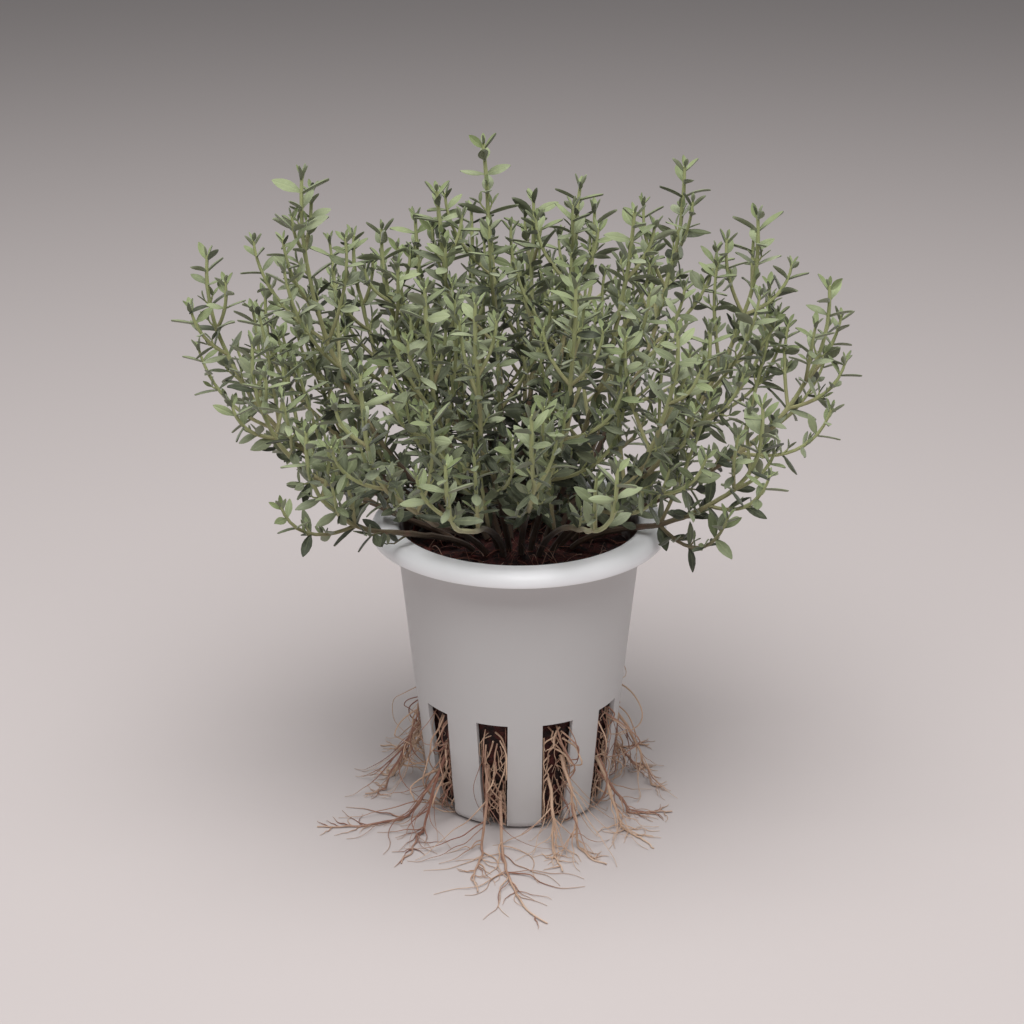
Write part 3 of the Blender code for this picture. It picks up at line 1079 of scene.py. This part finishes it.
LEAF_SHAPES: dict[LeafKind, LeafShape] = {
    LeafKind.BUD: LeafShape(width=0.40, fold=0.55, roll=0.10, droop=-0.10),
    LeafKind.YOUNG: LeafShape(width=0.37, fold=0.34, roll=0.20, droop=0.04),
    LeafKind.FLAT: LeafShape(width=0.38, fold=0.16, roll=0.28, droop=0.10),
    LeafKind.BROAD: LeafShape(width=0.43, widest=0.47, fold=0.22, roll=0.22, droop=0.08),
    LeafKind.ROLLED: LeafShape(width=0.29, fold=0.05, roll=0.62, droop=0.16),
    LeafKind.DROOPING: LeafShape(width=0.36, fold=0.20, roll=0.30, droop=0.30),
}


@dataclass
class LeafPress:
    """Keeps one mesh of every leaf form and lays copies of it where leaves grow."""

    meshes: dict[LeafKind, bpy.types.Mesh] = field(default_factory=dict)

    def __post_init__(self) -> None:
        """Draw the forms."""
        self.meshes = {kind: shape.mesh(f"leaf_{kind.value}") for kind, shape in LEAF_SHAPES.items()}

    def lay(
        self, bm: bmesh.types.BMesh, kind: LeafKind, place: Matrix, tone: float, age: float
    ) -> None:
        """Add one leaf.

        Args:
            bm: The shape that collects the leaves.
            kind: The leaf's form.
            place: Its place, turn and size.
            tone: Its shade between 0 and 1.
            age: 0 for a leaf at the tip, 1 for an old one.
        """
        before = len(bm.verts)
        bm.from_mesh(self.meshes[kind])
        bm.verts.ensure_lookup_table()
        fresh = bm.verts[before:]
        bmesh.ops.transform(bm, matrix=place, verts=fresh)
        age_layer = bm.verts.layers.float["age"]
        tone_layer = bm.verts.layers.float["tone"]
        for vert in fresh:
            vert[age_layer] = age
            vert[tone_layer] = tone

    def clear(self) -> None:
        """Remove the forms once every leaf is laid."""
        for mesh in self.meshes.values():
            bpy.data.meshes.remove(mesh)


# ---------------------------------------------------------------- shoots

# Tip x, y, z (mm) and the angle (degrees) at which each stem leaves the crown.
SPRIGS = (
    (-60, 0, 116, 47),
    (-50, -15, 103, 47),
    (-52, 22, 102, 49),
    (-41, -2, 132, 52),
    (-42, 12, 105, 52),
    (-39, -31, 91, 48),
    (-34, 28, 113, 54),
    (-27, 9, 119, 66),
    (-28, -40, 105, 52),
    (-21, 23, 118, 68),
    (-17, -27, 117, 60),
    (-26, 46, 106, 48),
    (-16, 7, 127, 74),
    (-13, -48, 91, 58),
    (-7, 13, 135, 80),
    (-8, -30, 115, 62),
    (-10, 39, 116, 60),
    (3, 27, 121, 74),
    (2, -42, 98, 60),
    (2, 50, 108, 48),
    (12, 12, 127, 78),
    (10, -28, 118, 64),
    (21, -15, 128, 72),
    (17, -47, 90, 58),
    (16, 39, 116, 60),
    (28, -34, 111, 56),
    (29, 46, 106, 48),
    (33, 20, 129, 64),
    (36, -12, 105, 54),
    (46, 4, 123, 52),
    (45, -24, 94, 48),
    (52, 27, 103, 50),
    (60, 0, 110, 48),
)


@dataclass
class Sprig:
    """One shoot: its stem, side branches, leaf pairs and the young shoots in their axils."""

    number: int
    tip: tuple[float, float, float]
    launch: float
    pot: NetPot
    press: LeafPress
    crown_spread: tuple[float, float] = (0.24, 0.16)
    crown_shift: float = 3.0 * MM
    coir_top: float = 55.0 * MM
    stem_base: float = 0.66 * MM
    stem_tip: float = 0.34 * MM
    shallow: float = 46.0
    steep: float = 80.0
    pull: tuple[float, float] = (0.20, 0.43)
    finish_pull: tuple[float, float] = (0.50, 0.38)
    finish_lean: tuple[float, float] = (-0.12, 0.12)
    bare: float = 2.5 * MM
    branch_share: float = 0.52
    axil_share: float = 0.92
    rim_clear: float = 1.0 * MM
    mouth_half: float = 22.0 * MM
    mouth_sill: float = 59.4 * MM
    mouth_slope: float = 0.42

    def __post_init__(self) -> None:
        """Start the random draws of this shoot."""
        self.draw = random.Random(100 + self.number)

    def arch(self) -> float:
        """Extra rise of the low front stems, which arch over the rim."""
        return 2.6 * MM if self.tip[1] < -40 else 0.0

    def stem_path(self) -> Path3:
        """Centre line from the crown to the tip, with a slight wander."""
        rise = math.radians(self.launch)
        tip = np.array(self.tip) * MM
        foot = self.coir_top + 0.5 * MM * math.cos(rise)
        base = np.array((self.crown_spread[0] * tip[0], self.crown_spread[1] * tip[1] + self.crown_shift, foot))
        plan = (tip - base) * (1, 1, 0)
        plan = plan / np.linalg.norm(plan)
        length = float(np.linalg.norm(tip - base))
        share = (self.launch - self.shallow) / (self.steep - self.shallow)
        pairs = (self.pull, self.finish_pull, self.finish_lean)
        pull, finish, lean = (a + (b - a) * share for a, b in pairs)
        first = base + (plan * math.cos(rise) + (0, 0, math.sin(rise))) * length * pull
        last = tip - (plan * lean + (0, 0, 1)) * length * finish
        path = Path3.bezier((base, first, last, tip), 120)
        for index, point in enumerate(path.points):
            share = index / (len(path.points) - 1)
            sway = noise.noise_vector(Vector((self.number * 3.1, share * 4.0, 0.5)))
            point[2] += self.arch() * math.sin(math.pi * share)
            kink = noise.noise_vector(Vector((self.number * 7.7, share * 16.0, 2.5)))
            point += (np.array(sway) * 1.5 + np.array(kink) * 0.35) * MM * math.sin(math.pi * share)
        return Path3.through(path.points, 120)

    def node_marks(self, length: float, stop: float) -> list[float]:
        """Distances below the tip at which leaf pairs grow.

        Args:
            length: The stem's length.
            stop: How far from its start the last pair may be.

        Returns:
            The distances, from the tip down.
        """
        marks = [0.2 * MM, 0.9 * MM]
        step = 2.1 * MM
        while marks[-1] + step < length - stop:
            marks.append(marks[-1] + step * self.draw.uniform(0.88, 1.12))
            step = min(step + 0.85 * MM, 6.4 * MM)
        return marks

    def clear_of_pot(self, start: Vector, end: Vector) -> bool:
        """Tell whether a leaf misses the pot's rim and the coir."""
        for share in (0.3, 0.65, 1.0):
            spot = start.lerp(end, share)
            reach = math.hypot(spot.x, spot.y)
            if spot.z < self.coir_top + 0.8 * MM and reach < self.pot.rim_radius + self.rim_clear:
                return False
            sill = self.mouth_sill - self.mouth_slope * spot.y
            if abs(spot.x) < self.mouth_half and spot.y < 14 * MM and spot.z < sill:
                return False
            over_rim = self.pot.mouth_radius - 1.2 * MM < reach < self.pot.rim_radius + self.rim_clear
            if over_rim and spot.z < self.pot.height + self.rim_clear:
                return False
        return True

    def add_leaf(self, spot: Vector, ahead: Vector, outward: Vector, angle: float, size: float, age: float) -> None:
        """Grow one leaf.

        Args:
            spot: Where it leaves the stem.
            ahead: The stem's direction there.
            outward: The side it grows to.
            angle: Its angle from the stem in degrees.
            size: Its length.
            age: 0 at the tip to 1 for an old leaf.
        """
        lean = math.radians(angle + self.draw.uniform(-12, 12))
        direction = (ahead * math.cos(lean) + outward * math.sin(lean)).normalized()
        if not self.clear_of_pot(spot, spot + direction * size):
            return
        up = ahead + Vector((0, 0, 0.8))
        up = (up - direction * up.dot(direction)).normalized()
        across = direction.cross(up)
        turn = Matrix.Rotation(math.radians(self.draw.gauss(0, 30)), 3, direction)
        across, up = turn @ across, turn @ up
        place = Matrix((across, direction, up)).transposed().to_4x4()
        wide = self.draw.uniform(0.85, 1.15)
        scale = Matrix.Diagonal((size * wide, size, size, 1.0))
        if age < 0.06:
            kind = LeafKind.BUD
        elif age < 0.22:
            kind = LeafKind.YOUNG
        else:
            kinds = (LeafKind.FLAT, LeafKind.BROAD, LeafKind.ROLLED, LeafKind.DROOPING)
            kind = self.draw.choices(kinds, (4, 3, 2, 2))[0]
        # Tone rises with distance from the crown and has a random spread, so leaves inside the bush get painted shade.
        open_air = (spot - Vector((0.0, 0.0, self.coir_top))).length / (60 * MM)
        tone = min(max(self.draw.gauss(0.02 + 0.53 * min(open_air, 1.2), 0.25), 0.0), 1.0)
        self.press.lay(self.leaves, kind, Matrix.Translation(spot) @ place @ scale, tone, age)

    def add_axil_shoot(self, spot: Vector, ahead: Vector, outward: Vector, vigour: float, age: float) -> None:
        """Grow the short leafy shoot that sits between a leaf and the stem.

        Args:
            spot: The axil.
            ahead: The stem's direction.
            outward: The leaf's side.
            vigour: 0 for a bud, 1 for the longest shoot.
            age: Age of its oldest leaves.
        """
        lean = math.radians(self.draw.uniform(28, 48))
        direction = (ahead * math.cos(lean) + outward * math.sin(lean)).normalized()
        length = (0.9 + 4.6 * vigour * self.draw.uniform(0.6, 1.1)) * MM
        end = spot + direction * length + Vector((0, 0, 0.25 * length))
        if not self.clear_of_pot(spot, end):
            return
        path = Path3.bezier((spot, spot.lerp(end, 0.4), end - Vector((0, 0, 0.3 * length)), end), 16)
        Tube(path, 0.24 * MM, 0.15 * MM, 5, 3, (0.3, 0.05)).draw(self.stems)
        pairs = 1 + int(vigour * 2.4)
        side = ahead.cross(outward).normalized()
        for pair in range(pairs):
            share = 1 - pair / max(pairs, 1) * 0.75
            place, heading = path.at(length * share)
            axis = side if pair % 2 else outward
            axis = (axis - heading * axis.dot(heading)).normalized()
            size = (2.1 + 0.65 * pair + 1.1 * vigour * self.draw.uniform(0.6, 1.2)) * MM
            for sign in (-1, 1):
                self.add_leaf(place, heading, axis * sign, 26 + 16 * pair, size, age * (0.25 + 0.3 * pair))

    def grow(self, path: Path3, thick: tuple[float, float], age: tuple[float, float], stop: float, level: int) -> None:
        """Grow a stem or branch with everything on it.

        Args:
            path: Its centre line.
            thick: Radius at its start and its tip.
            age: Age at its start and its tip.
            stop: Length without leaves at its start.
            level: 0 for the main stem, 1 for a branch.
        """
        marks = self.node_marks(path.length, stop)
        knots = tuple(path.length - mark for mark in marks[2:])
        rings = max(8, int(path.length / (1.9 * MM)))
        Tube(path, thick[0], thick[1], 7, rings, age, self.draw.random(), knots).draw(self.stems)
        side = path.at(path.length)[1].orthogonal().normalized()
        side = Matrix.Rotation(self.draw.uniform(0, math.tau), 3, path.at(path.length)[1]) @ side
        branches = 0
        for pair, mark in enumerate(marks):
            spot, ahead = path.at(path.length - mark)
            side = (side - ahead * side.dot(ahead)).normalized()
            outward_axis = side if pair % 2 else ahead.cross(side)
            below = mark / MM
            leaf_age = min(below / 26.0, 1.0)
            size = min(1.7 + 1.9 * below ** 0.6, 5.6) * MM * self.draw.uniform(0.84, 1.12)
            if level:
                size *= 0.86
            angle = min(20 + 25 * below ** 0.5, 66) + max(below - 30, 0) * 0.5
            for sign in (1, -1):
                outward = outward_axis * sign
                self.add_leaf(spot + outward * thick[1] * 0.5, ahead, outward, angle, size, leaf_age)
                if below < 7 or self.draw.random() > self.axil_share:
                    continue
                roomy = level == 0 and 11 < below < 64 and branches < 7 and pair < len(marks) - 1
                if roomy and self.draw.random() < self.branch_share:
                    branches += 1
                    self.add_branch(spot, ahead, outward, below)
                else:
                    vigour = min(max((below - 6) / 22.0, 0.08), 1.0) * (1.0 if level == 0 else 0.6)
                    self.add_axil_shoot(spot, ahead, outward, vigour, leaf_age)

    def add_branch(self, spot: Vector, ahead: Vector, outward: Vector, below: float) -> None:
        """Grow a side branch that bends up beside its stem.

        Args:
            spot: Where it leaves the stem.
            ahead: The stem's direction there.
            outward: The side it grows to.
            below: How far below the tip it starts, in millimetres.
        """
        length = min(2.0 + below * self.draw.uniform(0.45, 0.75), 27.0) * MM
        lean = math.radians(self.draw.uniform(38, 55))
        heading = (ahead * math.cos(lean) + outward * math.sin(lean)).normalized()
        first = spot + heading * length * 0.45
        end = first + (heading * 0.35 + ahead * 0.25 + Vector((0, 0, 0.75))).normalized() * length * 0.6
        last = end - (ahead * 0.4 + Vector((0, 0, 1))).normalized() * length * 0.3
        if not (self.clear_of_pot(spot, first) and self.clear_of_pot(first, end)):
            return
        path = Path3.bezier((spot, first, last, end), 40)
        self.grow(path, (0.40 * MM, 0.28 * MM), (0.45, 0.0), 3.0 * MM, 1)

    def build(self, bark: bpy.types.Material, green: bpy.types.Material) -> None:
        """Make the shoot's stem piece and leaf piece.

        Args:
            bark: The stem's finish.
            green: The leaves' finish.
        """
        self.stems = strand_mesh()
        self.leaves = strand_mesh()
        self.leaves.loops.layers.uv.new(LEAF_UV)
        path = self.stem_path()
        self.grow(path, (self.stem_base, self.stem_tip), (1.0, 0.0), self.bare, 0)
        node = f"thyme_sprig_{self.number:02d}"
        add_piece(f"sprig_{self.number:02d}_stems", close_up(self.stems), bark, [node])
        add_piece(f"sprig_{self.number:02d}_leaves", self.leaves, green, [node], sharp=75.0)


# ---------------------------------------------------------------- roots

# Slot number, side of the slot, start height (mm), reach (mm) and end angle from the front (degrees).
ROOTS = (
    (0, -1, 15.0, 43.0, -11.0),
    (0, 1, 9.0, 53.5, 5.5),
    (1, -1, 12.0, 36.0, 13.0),
    (1, 1, 17.0, 37.0, 27.0),
    (2, -1, 13.0, 38.0, 45.0),
    (2, 1, 8.0, 34.0, 68.0),
    (3, -1, 18.0, 31.0, 86.0),
    (3, 1, 10.0, 29.0, 105.0),
    (4, -1, 9.0, 34.0, 122.0),
    (4, 1, 16.0, 30.0, 140.0),
    (5, -1, 14.0, 38.0, 158.0),
    (6, 1, 11.0, 36.0, -162.0),
    (7, -1, 9.0, 31.0, -140.0),
    (7, 1, 15.0, 35.0, -120.0),
    (8, -1, 12.0, 30.0, -100.0),
    (8, 1, 17.0, 33.0, -84.0),
    (9, -1, 10.0, 45.0, -67.0),
    (9, 1, 15.0, 40.0, -37.0),
)


@dataclass
class RootSystem:
    """The roots that come through the slots, with their branches, and the mat of fine roots inside."""

    pot: NetPot
    thick: float = 0.36 * MM
    side_shift: float = 1.25 * MM
    wave: float = 0.9 * MM
    branches: int = 17
    mat_strands: int = 40
    floor_lift: float = 0.02 * MM

    def guide(self, row: tuple[int, int, float, float, float]) -> np.ndarray:
        """Points of one main root from the plug, through its slot, down and along the surface.

        Args:
            row: Slot number, side, start height, reach and end angle.

        Returns:
            The points.
        """
        slot, side, start_height, reach, end_angle = row
        start_angle = self.pot.slot_angle(slot)
        turn = (math.radians(end_angle) - start_angle + math.pi) % math.tau - math.pi
        start = start_height * MM
        reach *= MM
        first = self.pot.inner(start)
        rest = self.thick * 0.8 + self.floor_lift
        land = self.pot.outer(0.0) + 5.0 * MM + 0.25 * start
        drop = Path3.bezier(
            ((first, 0, start), (first + 2.2 * MM, 0, start - 0.6 * MM), (land - 2.6 * MM, 0, start * 0.42), (land, 0, rest)),
            30,
        ).points
        along = [(r, max(z, rest)) for r, _, z in drop]
        along += [(land + (reach - land) * k / 30, rest) for k in range(1, 31)]
        points = []
        for radius, height in along:
            travel = (radius - first) / (reach - first)
            out = toward(start_angle + turn * travel)
            across = Vector((-out.y, out.x, 0.0))
            sway = side * self.side_shift * (1 - travel) + self.wave * math.sin(travel * math.tau + slot) * travel
            spot = out * radius + across * sway
            ripple = noise.noise_vector(Vector((slot * 5.0 + side, travel * 9.0, 1.7))) * 0.8 * MM * min(travel * 3, 1)
            points.append((spot.x + ripple.x, spot.y + ripple.y, max(height + ripple.z * 0.5, rest * (1 - 0.4 * travel))))
        return np.array(points)

    def rootlet(self, draw: random.Random, spot: Vector, ahead: Vector, length: float) -> list[Vector]:
        """Guide points of a thin side root that sinks to the surface and lies along it."""
        side = Vector((-ahead.y, ahead.x, 0.0)).normalized() * draw.choice((-1, 1))
        plan = Vector((ahead.x, ahead.y, 0.0)).normalized()
        heading = (plan * draw.uniform(0.3, 1.1) + side * draw.uniform(0.3, 1.2)).normalized()
        start = spot.z
        guides = [spot]
        for step in range(1, 8):
            heading = Matrix.Rotation(draw.uniform(-0.55, 0.55), 3, "Z") @ heading
            fresh = guides[-1] + heading * length / 7
            fresh.z = max(start * (1 - step / 7) ** 1.5 + draw.uniform(-0.25, 0.35) * MM, 0.2 * MM)
            guides.append(fresh)
        return guides

    def build_mains(self, finish: bpy.types.Material) -> None:
        """Make each main root with its side roots.

        Args:
            finish: The root skin.
        """
        for number, row in enumerate(ROOTS, 1):
            draw = random.Random(500 + number)
            bm = strand_mesh()
            path = Path3.through(self.guide(row), 90)
            tone = draw.random()
            Tube(path, self.thick, 0.16 * MM, 7, 44, (1.0, 0.0), tone).draw(bm)
            for _ in range(self.branches):
                distance = path.length * draw.uniform(0.12, 0.93)
                spot, ahead = path.at(distance)
                left = path.length - distance
                length = min(max(left * draw.uniform(0.3, 0.9), 4 * MM), 17 * MM)
                guides = self.rootlet(draw, spot, ahead, length)
                thin = draw.uniform(0.08, 0.18) * MM
                branch = Path3.spline(guides, 40)
                shade = min(max(tone + draw.uniform(-0.35, 0.35), 0.0), 1.0)
                Tube(branch, thin, 0.05 * MM, 5, 18, (0.7, 0.0), shade).draw(bm)
            add_piece(f"root_strand_{number:02d}", close_up(bm), finish, [f"root_{number:02d}"])

    def mat_points(self, draw: random.Random, slot: int) -> list[Vector]:
        """Guide points of one fine root that runs down inside a slot."""
        out = toward(self.pot.slot_angle(slot))
        across = Vector((-out.y, out.x, 0.0))
        top = draw.uniform(5.0, self.pot.slot_top / MM - 0.8) * MM
        low = max(top - draw.uniform(3.0, 17.0) * MM, 0.6 * MM)
        shift = draw.uniform(-0.95, 0.95)
        drift = draw.uniform(-0.5, 0.5)
        loose = 1.0 if slot < 2 else 1.4
        bulge = draw.choice((0.2, 0.5, 1.0, 1.8, 3.4, 5.5)) * draw.uniform(0.5, 1.0) * loose * MM
        guides = []
        for step in range(7):
            height = top + (low - top) * step / 6 + draw.uniform(-0.3, 0.3) * MM
            shift = min(max(shift + drift + draw.uniform(-0.4, 0.4), -0.95), 0.95)
            reach = self.pot.inner(height) + draw.uniform(-0.5, 0.2) * MM + bulge * math.sin(math.pi * step / 6)
            half = self.pot.slot_half(reach) - 0.4 * MM
            spot = out * reach + across * shift * half
            guides.append(Vector((spot.x, spot.y, max(height, 0.3 * MM))))
        return guides

    def build_mats(self, finish: bpy.types.Material) -> None:
        """Fill every slot with a net of fine roots over the coir.

        Args:
            finish: The root skin.
        """
        for slot in range(self.pot.slots):
            draw = random.Random(700 + slot)
            bm = strand_mesh()
            for _ in range(self.mat_strands):
                thin = draw.uniform(0.07, 0.22) * MM
                path = Path3.spline(self.mat_points(draw, slot), 40)
                Tube(path, thin, thin * 0.5, 5, 18, (0.9, 0.1), draw.random()).draw(bm)
            add_piece(f"root_mat_{slot + 1:02d}", close_up(bm), finish)

    def build(self) -> None:
        """Make all the roots."""
        skin = RootSkin().material()
        self.build_mains(skin)
        self.build_mats(skin)


# ---------------------------------------------------------------- studio


@dataclass
class Studio:
    """Floor, soft lights and the camera."""

    target: tuple[float, float, float] = (-1.4 * MM, 0.0, 62.8 * MM)
    distance: float = 0.400
    pitch: float = math.radians(21.8)
    lens: float = 69.5
    floor_half: float = 4.0
    key_place: tuple[float, float, float] = (-0.01, -0.22, 0.80)
    key_size: float = 0.84
    key_power: float = 10.6
    sky: tuple[float, float, float] = (0.21, 0.213, 0.217)

    def build_floor(self) -> None:
        """Lay the floor."""
        bm = bmesh.new()
        bmesh.ops.create_grid(bm, x_segments=1, y_segments=1, size=self.floor_half)
        mesh = bpy.data.meshes.new("studio_floor")
        bm.to_mesh(mesh)
        bm.free()
        mesh.materials.append(FloorPaint().material())
        floor = bpy.data.objects.new("studio_floor", mesh)
        bpy.context.scene.collection.objects.link(floor)

    def build_lights(self) -> None:
        """Hang the soft key light and set the even sky."""
        data = bpy.data.lights.new("key", "AREA")
        data.size = self.key_size
        data.energy = self.key_power
        key = bpy.data.objects.new("key", data)
        key.location = self.key_place
        aim = Vector((0, 0, 0.05)) - Vector(self.key_place)
        key.rotation_euler = aim.to_track_quat("-Z", "Y").to_euler()
        bpy.context.scene.collection.objects.link(key)
        world = bpy.data.worlds.new("sky")
        world.use_nodes = True
        world.node_tree.nodes["Background"].inputs["Color"].default_value = (*self.sky, 1.0)
        bpy.context.scene.world = world

    def build_camera(self) -> None:
        """Set the camera at the front, looking down on the plant."""
        data = bpy.data.cameras.new("camera")
        data.lens = self.lens
        data.sensor_width = 36.0
        data.clip_start = 0.01
        camera = bpy.data.objects.new("camera", data)
        back = Vector((0, -math.cos(self.pitch), math.sin(self.pitch)))
        camera.location = Vector(self.target) + back * self.distance
        camera.rotation_euler = (math.pi / 2 - self.pitch, 0, 0)
        bpy.context.scene.collection.objects.link(camera)
        bpy.context.scene.camera = camera

    def build(self) -> None:
        """Set up the studio."""
        self.build_floor()
        self.build_lights()
        self.build_camera()
        bpy.context.scene.view_settings.view_transform = "Standard"


def main() -> None:
    """Build the looks round the frame."""
    logging.basicConfig(level=logging.INFO, format="%(message)s")
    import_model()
    pot = NetPot()
    pot.build(PotPlastic().material())
    GrowingMedium(pot).build()
    press = LeafPress()
    bark = StemBark().material()
    green = ThymeLeaf().material()
    for number, (x, y, z, launch) in enumerate(SPRIGS, 1):
        Sprig(number, (x, y, z), launch, pot, press).build(bark, green)
    press.clear()
    RootSystem(pot).build()
    Studio().build()


if __name__ == "__main__":
    main()
